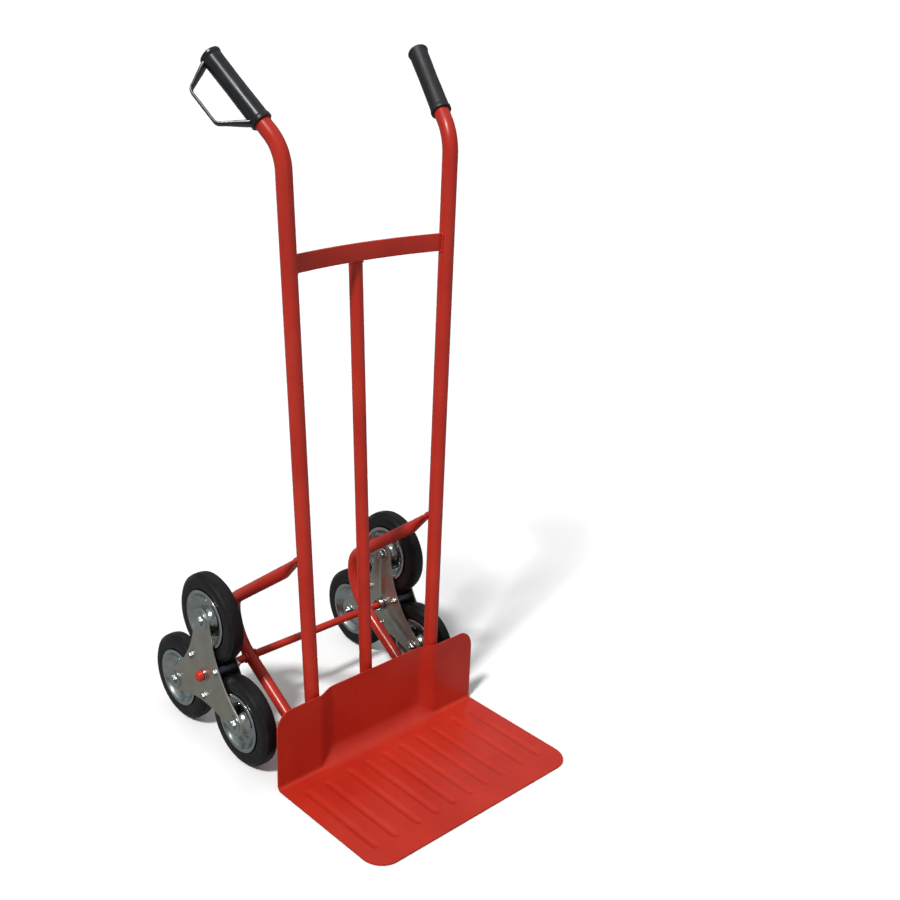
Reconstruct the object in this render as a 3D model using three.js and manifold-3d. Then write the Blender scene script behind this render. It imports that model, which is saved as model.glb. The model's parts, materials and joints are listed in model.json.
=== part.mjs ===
// Stair-climbing hand trolley: welded tube frame, pressed toe plate, and two
// clusters of three wheels that turn on one through axle.
//
// Units are millimetres. +Z is up, +X is to the right seen from the front, and the
// toe plate points along -Y. The origin is on the floor, midway between the uprights,
// below the front face of the back plate's wings.

import * as THREE from 'three';
import { mergeVertices } from 'three/addons/utils/BufferGeometryUtils.js';
import Module from 'manifold-3d';

// ---------------------------------------------------------------- driving sizes

const GAP = 0.3;                    // clearance between neighbouring solids

const UPRIGHT_R = 12.5;             // uprights, 25 mm tube
const TUBE_WALL = 1.5;
const UPRIGHT_FOOT_X = 133;         // half spacing of the uprights at the floor
const UPRIGHT_SPLAY = 0.031;        // sideways run per mm of height
const UPRIGHT_FOOT_Y = 16;          // uprights' centre line behind the wings
const UPRIGHT_LEAN = 0.047;         // rearward run per mm of height
const UPRIGHT_FOOT_Z = 6;
const BEND_Z = 1019;                // height where the handle turns back
const BEND_R = 75;
const HANDLE_RUN = [35.9, 119.6, 116.6];  // outward, back and up, from the bend to the grip's end

const GRIP_LENGTH = 127;
const GRIP_R = 15.6;
const GRIP_FLARE_R = 17.2;
const GRIP_END = 3.5;               // thickness of the grip's closed end
const GUARD_REACH = 52;             // from the grip's axis to the guard's long side
const GUARD_TURN = 40;              // degrees from sideways towards the underside
const GUARD_WIDTH = 12;
const GUARD_THICK = 4;

const CROSSBAR_Z = 857;
const CROSSBAR_HEIGHT = 28;
const CROSSBAR_THICK = 5;
const CROSSBAR_BOW = 17;            // rearward bow at mid span

const CENTRE_TUBE_R = 11;
const CENTRE_TUBE_X = -6;
const CENTRE_TUBE_FOOT_Z = 8;
const CENTRE_TUBE_TOP_Z = CROSSBAR_Z + 6;

const SHEET = 2.5;                  // pressed sheet of the toe plate
const PLATE_WIDTH = 450;
const DECK_DEPTH = 250;
const DECK_CORNER_R = 38;
const BACK_HEIGHT = 146;
const BACK_CORNER_R = 28;
const BACK_LEAN = 0.02;             // rearward run per mm of height
const RECESS = 12;                  // set-back of the panel between the uprights
const RECESS_EDGE_X = 98;           // half width of the set-back panel
const WING_EDGE_X = 136;            // where the step reaches the wing
const GROOVE_X = [19.75, 59.25, 98.75, 149, 190];  // each side of the middle
const GROOVE_WIDTH = 17;
const GROOVE_DEPTH = 1.2;
const GROOVE_BACK_Y = -30;
const GROOVE_FRONT_Y = -208;

const AXLE_Y = 198;
const AXLE_R = 7;
const AXLE_HALF = 237;
const AXLE_MID_X = -10;             // the axle and both clusters sit this far to the left

const WASHER_R = 12;                // outboard washer
const WASHER_LENGTH = 2.2;
const CAP_R = 9.7;                  // domed cap on the axle's end
const CAP_END_X = 242;              // from the middle of the axle
const COLLAR_R = 12;                // inboard collar
const COLLAR_MOUTH_R = 9.5;
const COLLAR_LENGTH = 9;

const WHEEL_R = 80;
const ARM = 106;                    // hub centre to wheel centre
const AXLE_Z = WHEEL_R + ARM / 2;   // two wheels of each cluster stand on the floor

const LOOP_R = 11;                  // side loops, 22 mm tube
const LOOP_TOP_Z = 387;             // where the loop leaves the upright
const LOOP_REAR_Y = 241;
const LOOP_STRUT_DROP = 0.75;       // fall per mm of rearward run
const LOOP_STAY_DROP = 0.65;        // fall per mm of forward run, below the axle
const LOOP_UPPER_BEND_R = 36;
const LOOP_LOWER_BEND_R = 95;

// Cluster stack, as distances from the middle of the axle.
const INNER_FACE_X = 184;           // inboard face of the inner plate
const OUTER_FACE_X = 228;           // outboard face of the outer plate
const PLATE_THICK = 3;
const WHEEL_MID_X = (INNER_FACE_X + OUTER_FACE_X) / 2;
const ARM_TIP_R = 22;
const VALLEY_R = 54;                // hub centre to the edge between two arms
const TIE_BOLT_CIRCLE_R = 43;
const TIE_BOLT_R = 3;
const WHEEL_BOLT_R = 5;
const WASHER_THICK = 2;             // washer under each bolt head and nut
const SPACER_R = 7;
const HUB_SLEEVE_R = 13;

const TYRE_WIDTH = 30;
const TYRE_SHOULDER_R = 74.5;
const RIM_SEAT_R = 49;
const RIM_LIP_R = 53;
const RIM_FLANGE_R = 44;            // inner edge of the rim's flat outer ring
const RIM_WIDTH = 34;
const WHEEL_HUB_R = 15;
const WHEEL_HUB_LENGTH = 36;
const BUSH_OUTER_R = 11;

const TUBE_SEGMENTS = 16;
const WHEEL_SEGMENTS = 24;
const HOLE_SEGMENTS = 12;

// Corner radius of a faceted bore whose flats clear a turning shaft's corners.
const runningBore = (shaftR) => (shaftR + GAP) / Math.cos(Math.PI / HOLE_SEGMENTS);

// ---------------------------------------------------------------- materials

const finish = (color, roughness, metalness) =>
  new THREE.MeshStandardMaterial({ color, roughness, metalness });

const RED_PAINT = finish(0xb32a20, 0.35, 0.1);
const ZINC = finish(0xa9aba6, 0.35, 0.9);
const BLACK_RUBBER = finish(0x1c1c1d, 0.75, 0.0);
const BLACK_PLASTIC = finish(0x141416, 0.3, 0.0);
const NYLON = finish(0xd8d5c8, 0.5, 0.0);

// ---------------------------------------------------------------- helpers

const wasm = await Module();
wasm.setup();

const v3 = (x, y, z) => new THREE.Vector3(x, y, z);

// A three.js geometry as a manifold solid.
function solid(geometry) {
  const bare = geometry.clone();
  bare.deleteAttribute('normal');
  bare.deleteAttribute('uv');
  const merged = mergeVertices(bare, 1e-4);
  return new wasm.Manifold(new wasm.Mesh({
    numProp: 3,
    vertProperties: new Float32Array(merged.attributes.position.array),
    triVerts: new Uint32Array(merged.index.array),
  }));
}

// A manifold solid as a three.js geometry.
function surface(body) {
  const mesh = body.getMesh();
  const geometry = new THREE.BufferGeometry();
  const points = new Float32Array(mesh.vertProperties);
  geometry.setAttribute('position', new THREE.BufferAttribute(points, 3));
  geometry.setIndex(new THREE.BufferAttribute(new Uint32Array(mesh.triVerts), 1));
  return geometry;
}

const cut = (body, ...tools) => tools.reduce((left, tool) => left.subtract(tool), body);
const join = (...bodies) => bodies.reduce((left, right) => left.add(right));

function circleShape(radius, holeRadius, segments) {
  const ring = (r) => Array.from({ length: segments }, (_, i) => {
    const a = 2 * Math.PI * i / segments;
    return new THREE.Vector2(r * Math.cos(a), r * Math.sin(a));
  });
  const shape = new THREE.Shape(ring(radius));
  if (holeRadius > 0) shape.holes.push(new THREE.Path(ring(holeRadius)));
  return shape;
}

// Round bar or tube between two points.
function rod(from, to, radius, holeRadius = 0, segments = TUBE_SEGMENTS) {
  const length = from.distanceTo(to);
  const geometry = new THREE.ExtrudeGeometry(circleShape(radius, holeRadius, segments),
    { depth: length, bevelEnabled: false });
  const turn = new THREE.Quaternion().setFromUnitVectors(v3(0, 0, 1),
    to.clone().sub(from).normalize());
  geometry.applyQuaternion(turn);
  geometry.translate(from.x, from.y, from.z);
  return geometry;
}

// Centre line through corner points, each inner corner rounded to its own radius.
class RoundedPath extends THREE.Curve {
  constructor(corners, radii, arcSteps) {
    super();
    this.points = [corners[0]];
    for (let i = 1; i < corners.length - 1; i += 1) {
      this.points.push(...RoundedPath.arc(corners[i - 1], corners[i], corners[i + 1],
        radii[i - 1], arcSteps));
    }
    this.points.push(corners[corners.length - 1]);
  }

  static arc(before, corner, after, radius, steps) {
    const back = before.clone().sub(corner).normalize();
    const ahead = after.clone().sub(corner).normalize();
    const half = back.angleTo(ahead) / 2;
    const setback = radius / Math.tan(half);
    const bisector = back.clone().add(ahead).normalize();
    const centre = corner.clone().addScaledVector(bisector, radius / Math.sin(half));
    const start = corner.clone().addScaledVector(back, setback).sub(centre);
    const axis = start.clone().cross(corner.clone().addScaledVector(ahead, setback).sub(centre));
    axis.normalize();
    const sweep = Math.PI - 2 * half;
    return Array.from({ length: steps + 1 }, (_, i) =>
      start.clone().applyAxisAngle(axis, sweep * i / steps).add(centre));
  }

  getPoint(t, target = new THREE.Vector3()) {
    const last = this.points.length - 1;
    const index = Math.min(Math.floor(t * last + 1e-9), last - 1);
    return target.lerpVectors(this.points[index], this.points[index + 1], t * last - index);
  }

  getPointAt(t, target) {
    return this.getPoint(t, target);
  }

  getTangent(t, target = new THREE.Vector3()) {
    const last = this.points.length - 1;
    const at = Math.round(t * last);
    const before = this.points[Math.max(at - 1, 0)];
    const after = this.points[Math.min(at + 1, last)];
    return target.copy(after).sub(before).normalize();
  }

  getTangentAt(t, target) {
    return this.getTangent(t, target);
  }
}

function sweep(shape, path) {
  return new THREE.ExtrudeGeometry(shape,
    { steps: path.points.length - 1, extrudePath: path, bevelEnabled: false });
}

// Solid of revolution about X. Profile points are [distance along X, radius].
function turned(profile, segments) {
  const points = profile.map(([along, radius]) => new THREE.Vector2(radius, along));
  const geometry = new THREE.LatheGeometry(points, segments);
  geometry.rotateZ(-Math.PI / 2);
  return surface(solid(geometry));
}

const ring = (from, to, inner, outer, segments) => turned(
  [[from, inner], [from, outer], [to, outer], [to, inner], [from, inner]], segments);

function prismAlongX(shape, from, to) {
  const geometry = new THREE.ExtrudeGeometry(shape,
    { depth: to - from, bevelEnabled: false, curveSegments: 8 });
  geometry.rotateX(Math.PI / 2);
  geometry.rotateZ(Math.PI / 2);
  geometry.translate(from, 0, 0);
  return geometry;
}

const part = new THREE.Group();

function add(name, geometry, material, parent = part) {
  const mesh = new THREE.Mesh(geometry, material);
  mesh.name = name;
  parent.add(mesh);
  return mesh;
}

const SIDES = [['left', -1], ['right', 1]];

// ---------------------------------------------------------------- uprights and handles

const uprightAt = (side, z) =>
  v3(side * (UPRIGHT_FOOT_X + UPRIGHT_SPLAY * z), UPRIGHT_FOOT_Y + UPRIGHT_LEAN * z, z);

const handleEnd = (side) => uprightAt(side, BEND_Z)
  .add(v3(side * HANDLE_RUN[0], HANDLE_RUN[1], HANDLE_RUN[2]));

const handleDirection = (side) =>
  v3(side * HANDLE_RUN[0], HANDLE_RUN[1], HANDLE_RUN[2]).normalize();

function upright(side) {
  const path = new RoundedPath(
    [uprightAt(side, UPRIGHT_FOOT_Z), uprightAt(side, BEND_Z), handleEnd(side)], [BEND_R], 7);
  return sweep(circleShape(UPRIGHT_R, UPRIGHT_R - TUBE_WALL, TUBE_SEGMENTS), path);
}

// A cylinder a little larger than the upright, for trimming what is welded to it.
const uprightCutter = (side) => solid(rod(uprightAt(side, -40), uprightAt(side, BEND_Z - 60),
  UPRIGHT_R + GAP, 0, TUBE_SEGMENTS));

const gripTip = (side) => handleEnd(side)
  .addScaledVector(handleDirection(side), GRIP_END + GAP);

// Moulded sleeve, closed at the tip and flared at both ends.
function gripBody(side) {
  const body = turned([
    [0, 0], [0, GRIP_FLARE_R - 3], [3, GRIP_FLARE_R], [6, GRIP_FLARE_R], [10, GRIP_R],
    [GRIP_LENGTH - 8, GRIP_R], [GRIP_LENGTH - 4, GRIP_FLARE_R], [GRIP_LENGTH, GRIP_FLARE_R],
    [GRIP_LENGTH, 0],
  ], TUBE_SEGMENTS);
  const tip = gripTip(side);
  body.applyQuaternion(new THREE.Quaternion().setFromUnitVectors(v3(1, 0, 0),
    handleDirection(side).negate()));
  body.translate(tip.x, tip.y, tip.z);
  return solid(body);
}

// D-shaped hand guard of the left grip: a bent strip moulded onto the grip's two ends.
function guardStrip() {
  const axis = handleDirection(-1);
  const sideways = v3(-1, 0, 0);
  sideways.addScaledVector(axis, -sideways.dot(axis)).normalize();
  const under = axis.clone().cross(sideways);
  if (under.z > 0) under.negate();
  const angle = THREE.MathUtils.degToRad(GUARD_TURN);
  const reach = sideways.multiplyScalar(Math.cos(angle))
    .addScaledVector(under, Math.sin(angle));
  const point = (down, out) => gripTip(-1).addScaledVector(axis, -down)
    .addScaledVector(reach, out);
  const path = new RoundedPath([point(10, GRIP_R - 2), point(27, GUARD_REACH),
    point(88, GUARD_REACH), point(GRIP_LENGTH - 9, GRIP_R - 2)], [9, 9], 4);
  const strip = new THREE.Shape([
    new THREE.Vector2(-GUARD_THICK / 2, -GUARD_WIDTH / 2),
    new THREE.Vector2(GUARD_THICK / 2, -GUARD_WIDTH / 2),
    new THREE.Vector2(GUARD_THICK / 2, GUARD_WIDTH / 2),
    new THREE.Vector2(-GUARD_THICK / 2, GUARD_WIDTH / 2),
  ]);
  return solid(sweep(strip, path));
}

function gripGeometry(side) {
  const mouth = gripTip(side).addScaledVector(handleDirection(side), -GRIP_LENGTH - 5);
  const floor = gripTip(side).addScaledVector(handleDirection(side), -GRIP_END);
  const bore = solid(rod(floor, mouth, UPRIGHT_R + GAP));
  const body = side < 0 ? join(gripBody(side), guardStrip()) : gripBody(side);
  return surface(cut(body, bore));
}

for (const [name, side] of SIDES) {
  add(`upright_${name}`, upright(side), RED_PAINT);
  add(`grip_${name}`, gripGeometry(side), BLACK_PLASTIC);
}

// ---------------------------------------------------------------- crossbar, centre tube

function crossbarGeometry() {
  const end = uprightAt(1, CROSSBAR_Z);
  const radius = (end.x ** 2 + CROSSBAR_BOW ** 2) / (2 * CROSSBAR_BOW);
  const half = Math.asin(end.x / radius);
  const steps = 12;
  const edge = (r) => Array.from({ length: steps + 1 }, (_, i) => {
    const a = half * (2 * i / steps - 1);
    return new THREE.Vector2(r * Math.sin(a), r * Math.cos(a) - radius + CROSSBAR_BOW);
  });
  const outline = [...edge(radius - CROSSBAR_THICK / 2),
    ...edge(radius + CROSSBAR_THICK / 2).reverse()];
  const bar = new THREE.ExtrudeGeometry(new THREE.Shape(outline),
    { depth: CROSSBAR_HEIGHT, bevelEnabled: false });
  bar.translate(0, end.y, CROSSBAR_Z - CROSSBAR_HEIGHT / 2);
  return surface(cut(solid(bar), uprightCutter(-1), uprightCutter(1)));
}

// Its foot stands behind the set-back panel and its head touches the back of the bar.
function centreTubeGeometry() {
  const barBack = uprightAt(1, CROSSBAR_Z).y + CROSSBAR_BOW + CROSSBAR_THICK / 2;
  const panelBack = RECESS + SHEET + BACK_LEAN * (CENTRE_TUBE_FOOT_Z + CENTRE_TUBE_R);
  const standOff = CENTRE_TUBE_R + 2 * GAP;
  const foot = v3(CENTRE_TUBE_X, panelBack + standOff, CENTRE_TUBE_FOOT_Z);
  const touch = v3(CENTRE_TUBE_X, barBack + standOff, CROSSBAR_Z - CROSSBAR_HEIGHT / 2);
  const share = (CENTRE_TUBE_TOP_Z - foot.z) / (touch.z - foot.z);
  const top = foot.clone().lerp(touch, share);
  return rod(foot, top, CENTRE_TUBE_R, CENTRE_TUBE_R - TUBE_WALL);
}

add('crossbar', crossbarGeometry(), RED_PAINT);
add('centre_tube', centreTubeGeometry(), RED_PAINT);

// ---------------------------------------------------------------- toe plate

// Front face of the back plate in plan: wings in front of the uprights, and a panel
// set back between them, with a smooth step on each side.
function backLine(offset) {
  const steps = 6;
  const half = PLATE_WIDTH / 2;
  const right = [];
  for (let i = 0; i <= steps; i += 1) {
    const share = i / steps;
    const ease = (1 + Math.cos(Math.PI * share)) / 2;
    right.push([RECESS_EDGE_X + share * (WING_EDGE_X - RECESS_EDGE_X), offset + RECESS * ease]);
  }
  right.push([half, offset]);
  const left = right.map(([x, y]) => [-x, y]).reverse();
  return [...left, ...right].map(([x, y]) => new THREE.Vector2(x, y));
}

function roundedTop(width, height, radius) {
  const shape = new THREE.Shape();
  shape.moveTo(-width / 2, 0);
  shape.lineTo(width / 2, 0);
  shape.lineTo(width / 2, height - radius);
  shape.absarc(width / 2 - radius, height - radius, radius, 0, Math.PI / 2, false);
  shape.lineTo(-width / 2 + radius, height);
  shape.absarc(-width / 2 + radius, height - radius, radius, Math.PI / 2, Math.PI, false);
  return shape;
}

function backPlateSolid() {
  const outline = [...backLine(0), ...backLine(SHEET).reverse()];
  const wall = new THREE.ExtrudeGeometry(new THREE.Shape(outline),
    { depth: BACK_HEIGHT, bevelEnabled: false });
  const silhouette = new THREE.ExtrudeGeometry(
    roundedTop(PLATE_WIDTH, BACK_HEIGHT, BACK_CORNER_R),
    { depth: 60, bevelEnabled: false, curveSegments: 6 });
  silhouette.rotateX(Math.PI / 2);
  silhouette.translate(0, 40, 0);
  const lean = new THREE.Matrix4().makeShear(0, 0, 0, 0, 0, BACK_LEAN);
  const body = surface(solid(wall).intersect(solid(silhouette)));
  body.applyMatrix4(lean);
  return solid(body);
}

function deckSolid() {
  const half = PLATE_WIDTH / 2;
  const corner = DECK_CORNER_R;
  const shape = new THREE.Shape(backLine(SHEET));
  shape.lineTo(half, -DECK_DEPTH + corner);
  shape.absarc(half - corner, -DECK_DEPTH + corner, corner, 0, -Math.PI / 2, true);
  shape.lineTo(-half + corner, -DECK_DEPTH);
  shape.absarc(-half + corner, -DECK_DEPTH + corner, corner, -Math.PI / 2, -Math.PI, true);
  return solid(new THREE.ExtrudeGeometry(shape,
    { depth: SHEET, bevelEnabled: false, curveSegments: 7 }));
}

// Round-ended groove in the deck's upper face.
function grooveSolid(x) {
  const shape = new THREE.Shape();
  const r = GROOVE_WIDTH / 2;
  shape.absarc(x, GROOVE_FRONT_Y + r, r, Math.PI, 2 * Math.PI, false);
  shape.absarc(x, GROOVE_BACK_Y - r, r, 0, Math.PI, false);
  const groove = new THREE.ExtrudeGeometry(shape,
    { depth: SHEET, bevelEnabled: false, curveSegments: 4 });
  groove.translate(0, 0, SHEET - GROOVE_DEPTH);
  return solid(groove);
}

function toePlateGeometry() {
  const grooves = GROOVE_X.flatMap((x) => [grooveSolid(-x), grooveSolid(x)]);
  return surface(cut(join(deckSolid(), backPlateSolid()), ...grooves));
}

add('toe_plate', toePlateGeometry(), RED_PAINT);

// ---------------------------------------------------------------- side loops and axle

const axleHole = () => solid(rod(v3(-AXLE_HALF, AXLE_Y, AXLE_Z), v3(AXLE_HALF, AXLE_Y, AXLE_Z),
  AXLE_R + GAP, 0, HOLE_SEGMENTS));

// Strut from the upright, round the back, and down through the axle to the upright's foot.
function loopGeometry(side) {
  const strutY = uprightAt(side, LOOP_TOP_Z).y;
  const upperZ = LOOP_TOP_Z - LOOP_STRUT_DROP * (LOOP_REAR_Y - strutY);
  const lowerZ = AXLE_Z + LOOP_STAY_DROP * (LOOP_REAR_Y - AXLE_Y);
  const footY = uprightAt(side, 0).y + 6;
  const footZ = AXLE_Z - LOOP_STAY_DROP * (AXLE_Y - footY);
  const at = (y, z) => v3(uprightAt(side, z).x, y, z);
  const path = new RoundedPath(
    [at(strutY, LOOP_TOP_Z), at(LOOP_REAR_Y, upperZ), at(LOOP_REAR_Y, lowerZ), at(footY, footZ)],
    [LOOP_UPPER_BEND_R, LOOP_LOWER_BEND_R], 6);
  const outer = solid(sweep(circleShape(LOOP_R, 0, TUBE_SEGMENTS), path));
  const inner = solid(sweep(circleShape(LOOP_R - TUBE_WALL, 0, TUBE_SEGMENTS), path));
  const tube = outer.subtract(inner);
  return surface(cut(tube, uprightCutter(side), axleHole()));
}

for (const [name, side] of SIDES) {
  add(`axle_loop_${name}`, loopGeometry(side), RED_PAINT);
}

function axleGeometry() {
  const chamfer = 1.5;
  return turned([[-AXLE_HALF, 0], [-AXLE_HALF, AXLE_R - chamfer],
    [-AXLE_HALF + chamfer, AXLE_R], [AXLE_HALF - chamfer, AXLE_R],
    [AXLE_HALF, AXLE_R - chamfer], [AXLE_HALF, 0]], HOLE_SEGMENTS);
}

// Domed cap pushed onto the axle's end, outboard of the washer.
function capGeometry() {
  const mouth = OUTER_FACE_X + WASHER_LENGTH + 2 * GAP;
  const floor = AXLE_HALF + GAP;
  const bore = AXLE_R + GAP;
  return turned([[floor, 0], [floor, bore], [mouth, bore], [mouth, CAP_R],
    [CAP_END_X - 4, CAP_R], [CAP_END_X - 1.5, 0.8 * CAP_R], [CAP_END_X, 0.4 * CAP_R],
    [CAP_END_X, 0]], TUBE_SEGMENTS);
}

const onAxle = new THREE.Group();
onAxle.position.set(AXLE_MID_X, AXLE_Y, AXLE_Z);
part.add(onAxle);

add('axle', axleGeometry(), RED_PAINT, onAxle);

function facing(geometry, side) {
  if (side < 0) geometry.rotateY(Math.PI);
  return geometry;
}

for (const [name, side] of SIDES) {
  const washer = ring(OUTER_FACE_X + GAP, OUTER_FACE_X + GAP + WASHER_LENGTH, AXLE_R + GAP,
    WASHER_R, HOLE_SEGMENTS);
  add(`axle_washer_${name}`, facing(washer, side), ZINC, onAxle);

  // The collar's bore opens out on the side away from the cluster.
  const seat = INNER_FACE_X - GAP;
  const mouth = seat - COLLAR_LENGTH;
  const collar = turned([[mouth, COLLAR_MOUTH_R], [mouth, COLLAR_R], [seat, COLLAR_R],
    [seat, AXLE_R + GAP], [seat - 3, AXLE_R + GAP], [seat - 3, COLLAR_MOUTH_R],
    [mouth, COLLAR_MOUTH_R]], HOLE_SEGMENTS);
  add(`axle_collar_${name}`, facing(collar, side), ZINC, onAxle);

  add(`axle_cap_${name}`, facing(capGeometry(), side), RED_PAINT, onAxle);
}

// ---------------------------------------------------------------- wheel clusters

// Outline of a three-armed plate, seen along the axle: round arm tips joined by
// shallow concave arcs.
function starShape() {
  const third = 2 * Math.PI / 3;
  const centreR = ((ARM ** 2) - (VALLEY_R - ARM_TIP_R) ** 2)
    / (ARM - 2 * (VALLEY_R - ARM_TIP_R));
  const sideR = centreR - VALLEY_R;
  const shape = new THREE.Shape();
  for (let arm = 0; arm < 3; arm += 1) {
    const armAngle = Math.PI / 2 + arm * third;
    const valleyAngle = armAngle + third / 2;
    const tip = [ARM * Math.cos(armAngle), ARM * Math.sin(armAngle)];
    const valley = [centreR * Math.cos(valleyAngle), centreR * Math.sin(valleyAngle)];
    const touch = Math.atan2(valley[1] - tip[1], valley[0] - tip[0]);
    shape.absarc(tip[0], tip[1], ARM_TIP_R, 2 * armAngle - touch, touch, false);
    const spread = valleyAngle + Math.PI - (touch + Math.PI);
    const from = touch + Math.PI;
    shape.absarc(valley[0], valley[1], sideR, from, from + 2 * spread, true);
  }
  return shape;
}

const clusterPoint = (radius, angle) => [radius * Math.sin(angle), radius * Math.cos(angle)];

const armAngles = [0, 1, 2].map((i) => i * 2 * Math.PI / 3);
const valleyAngles = armAngles.map((angle) => angle + Math.PI / 3);

function drill(from, to, radius, y, z) {
  return solid(rod(v3(from, y, z), v3(to, y, z), radius, 0, HOLE_SEGMENTS));
}

function starPlate(from, to) {
  const blank = solid(prismAlongX(starShape(), from, to));
  const holes = [drill(from - 5, to + 5, runningBore(AXLE_R), 0, 0)];
  for (const angle of armAngles) {
    holes.push(drill(from - 5, to + 5, WHEEL_BOLT_R + GAP, ...clusterPoint(ARM, angle)));
  }
  for (const angle of valleyAngles) {
    holes.push(drill(from - 5, to + 5, TIE_BOLT_R + GAP,
      ...clusterPoint(TIE_BOLT_CIRCLE_R, angle)));
  }
  return surface(cut(blank, ...holes));
}

// Bolt through the cluster, head outboard and nut inboard, each with its washer.
function throughBolt(radius, headR, headHeight, outerWasherR, innerWasherR) {
  const outer = OUTER_FACE_X + GAP;
  const inner = INNER_FACE_X - GAP;
  const shank = drill(inner - headHeight - 3, outer + 1, radius, 0, 0);
  const hexagon = (from, to) => solid(rod(v3(from, 0, 0), v3(to, 0, 0), headR, 0, 6));
  return surface(join(shank, hexagon(outer, outer + headHeight),
    hexagon(inner - headHeight, inner), drill(outer, outer + WASHER_THICK, outerWasherR, 0, 0),
    drill(inner - WASHER_THICK, inner, innerWasherR, 0, 0)));
}

// Pressed wheel centre: hub tube, dished disc and lipped rim in one turned section.
function rimGeometry() {
  const half = RIM_WIDTH / 2;
  const hub = WHEEL_HUB_LENGTH / 2;
  const bore = BUSH_OUTER_R + GAP;
  return turned([
    [-hub, bore], [-hub, WHEEL_HUB_R], [-6, WHEEL_HUB_R], [-3.5, 24], [-3.5, 34],
    [-half + 1.5, 42], [-half, RIM_FLANGE_R], [-half, RIM_LIP_R], [-half + 2.5, RIM_LIP_R],
    [-half + 5, RIM_SEAT_R], [half - 5, RIM_SEAT_R], [half - 2.5, RIM_LIP_R],
    [half, RIM_LIP_R], [half, RIM_FLANGE_R], [half - 1.5, 42], [3.5, 34], [3.5, 24],
    [6, WHEEL_HUB_R], [hub, WHEEL_HUB_R], [hub, bore], [-hub, bore],
  ], WHEEL_SEGMENTS);
}

function tyreGeometry() {
  const half = TYRE_WIDTH / 2;
  const seat = RIM_SEAT_R + GAP;
  const beadHalf = RIM_WIDTH / 2 - 6;
  return turned([
    [-beadHalf, seat], [-half, RIM_LIP_R + 3], [-half, TYRE_SHOULDER_R - 4],
    [-half + 2, TYRE_SHOULDER_R], [-half / 2, WHEEL_R - 0.8], [0, WHEEL_R],
    [half / 2, WHEEL_R - 0.8], [half - 2, TYRE_SHOULDER_R], [half, TYRE_SHOULDER_R - 4],
    [half, RIM_LIP_R + 3], [beadHalf, seat], [-beadHalf, seat],
  ], WHEEL_SEGMENTS);
}

const bushGeometry = () => ring(-WHEEL_HUB_LENGTH / 2, WHEEL_HUB_LENGTH / 2,
  runningBore(WHEEL_BOLT_R), BUSH_OUTER_R, HOLE_SEGMENTS);

function addCluster(name, side) {
  const cluster = new THREE.Group();
  onAxle.add(cluster);

  const place = (geometry, radius = 0, angle = 0) => {
    const [y, z] = clusterPoint(radius, angle);
    if (side < 0) geometry.rotateZ(Math.PI);
    geometry.translate(0, y, z);
    return geometry;
  };

  const inside = INNER_FACE_X + PLATE_THICK;
  const outside = OUTER_FACE_X - PLATE_THICK;
  const mirrorX = (from, to) => (side > 0 ? [from, to] : [-to, -from]);
  add(`outer_plate_${name}`, starPlate(...mirrorX(outside, OUTER_FACE_X)), ZINC, cluster);
  add(`inner_plate_${name}`, starPlate(...mirrorX(INNER_FACE_X, inside)), ZINC, cluster);
  add(`hub_sleeve_${name}`, place(ring(inside + GAP, outside - GAP,
    runningBore(AXLE_R), HUB_SLEEVE_R, HOLE_SEGMENTS)), BLACK_PLASTIC, cluster);

  valleyAngles.forEach((angle, i) => {
    const spacer = ring(inside + GAP, outside - GAP, TIE_BOLT_R + GAP, SPACER_R, HOLE_SEGMENTS);
    add(`spacer_${name}_${i + 1}`, place(spacer, TIE_BOLT_CIRCLE_R, angle), BLACK_PLASTIC,
      cluster);
    add(`tie_bolt_${name}_${i + 1}`,
      place(throughBolt(TIE_BOLT_R, 5.8, 4.5, 6.6, 6.6), TIE_BOLT_CIRCLE_R, angle), ZINC, cluster);
  });

  armAngles.forEach((angle, i) => {
    add(`wheel_bolt_${name}_${i + 1}`,
      place(throughBolt(WHEEL_BOLT_R, 9, 7.5, 17, 13), ARM, angle), ZINC, cluster);

    const wheel = new THREE.Group();
    const [y, z] = clusterPoint(ARM, angle);
    wheel.position.set(side * WHEEL_MID_X, y, z);
    cluster.add(wheel);
    add(`tyre_${name}_${i + 1}`, tyreGeometry(), BLACK_RUBBER, wheel);
    add(`rim_${name}_${i + 1}`, rimGeometry(), ZINC, wheel);
    add(`bush_${name}_${i + 1}`, bushGeometry(), NYLON, wheel);
  });
}

for (const [name, side] of SIDES) addCluster(name, side);

export default part;
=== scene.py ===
"""Looks of the stair-climbing hand trolley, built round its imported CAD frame.

Metres, +Z up, the toe plate points along -Y. Every piece stands for one CAD node and rides
on that node's body.
"""

import json
import math

import bmesh
import bpy
from mathutils import Matrix, Quaternion, Vector


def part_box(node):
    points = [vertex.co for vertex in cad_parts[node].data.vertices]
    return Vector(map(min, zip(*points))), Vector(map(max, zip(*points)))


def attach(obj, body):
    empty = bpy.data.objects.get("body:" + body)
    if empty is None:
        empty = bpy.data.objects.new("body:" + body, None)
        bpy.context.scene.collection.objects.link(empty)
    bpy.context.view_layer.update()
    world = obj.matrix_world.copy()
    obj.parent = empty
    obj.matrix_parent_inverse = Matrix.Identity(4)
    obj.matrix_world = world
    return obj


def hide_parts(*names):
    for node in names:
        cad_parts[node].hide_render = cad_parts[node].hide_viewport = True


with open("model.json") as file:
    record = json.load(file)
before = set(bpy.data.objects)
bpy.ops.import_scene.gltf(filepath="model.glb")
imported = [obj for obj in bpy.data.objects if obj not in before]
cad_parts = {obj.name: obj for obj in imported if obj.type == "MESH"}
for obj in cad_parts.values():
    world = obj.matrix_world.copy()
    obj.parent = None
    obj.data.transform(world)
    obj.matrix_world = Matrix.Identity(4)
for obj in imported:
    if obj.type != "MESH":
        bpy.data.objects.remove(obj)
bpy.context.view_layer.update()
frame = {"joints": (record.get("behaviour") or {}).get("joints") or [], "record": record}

MM = 0.001
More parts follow.
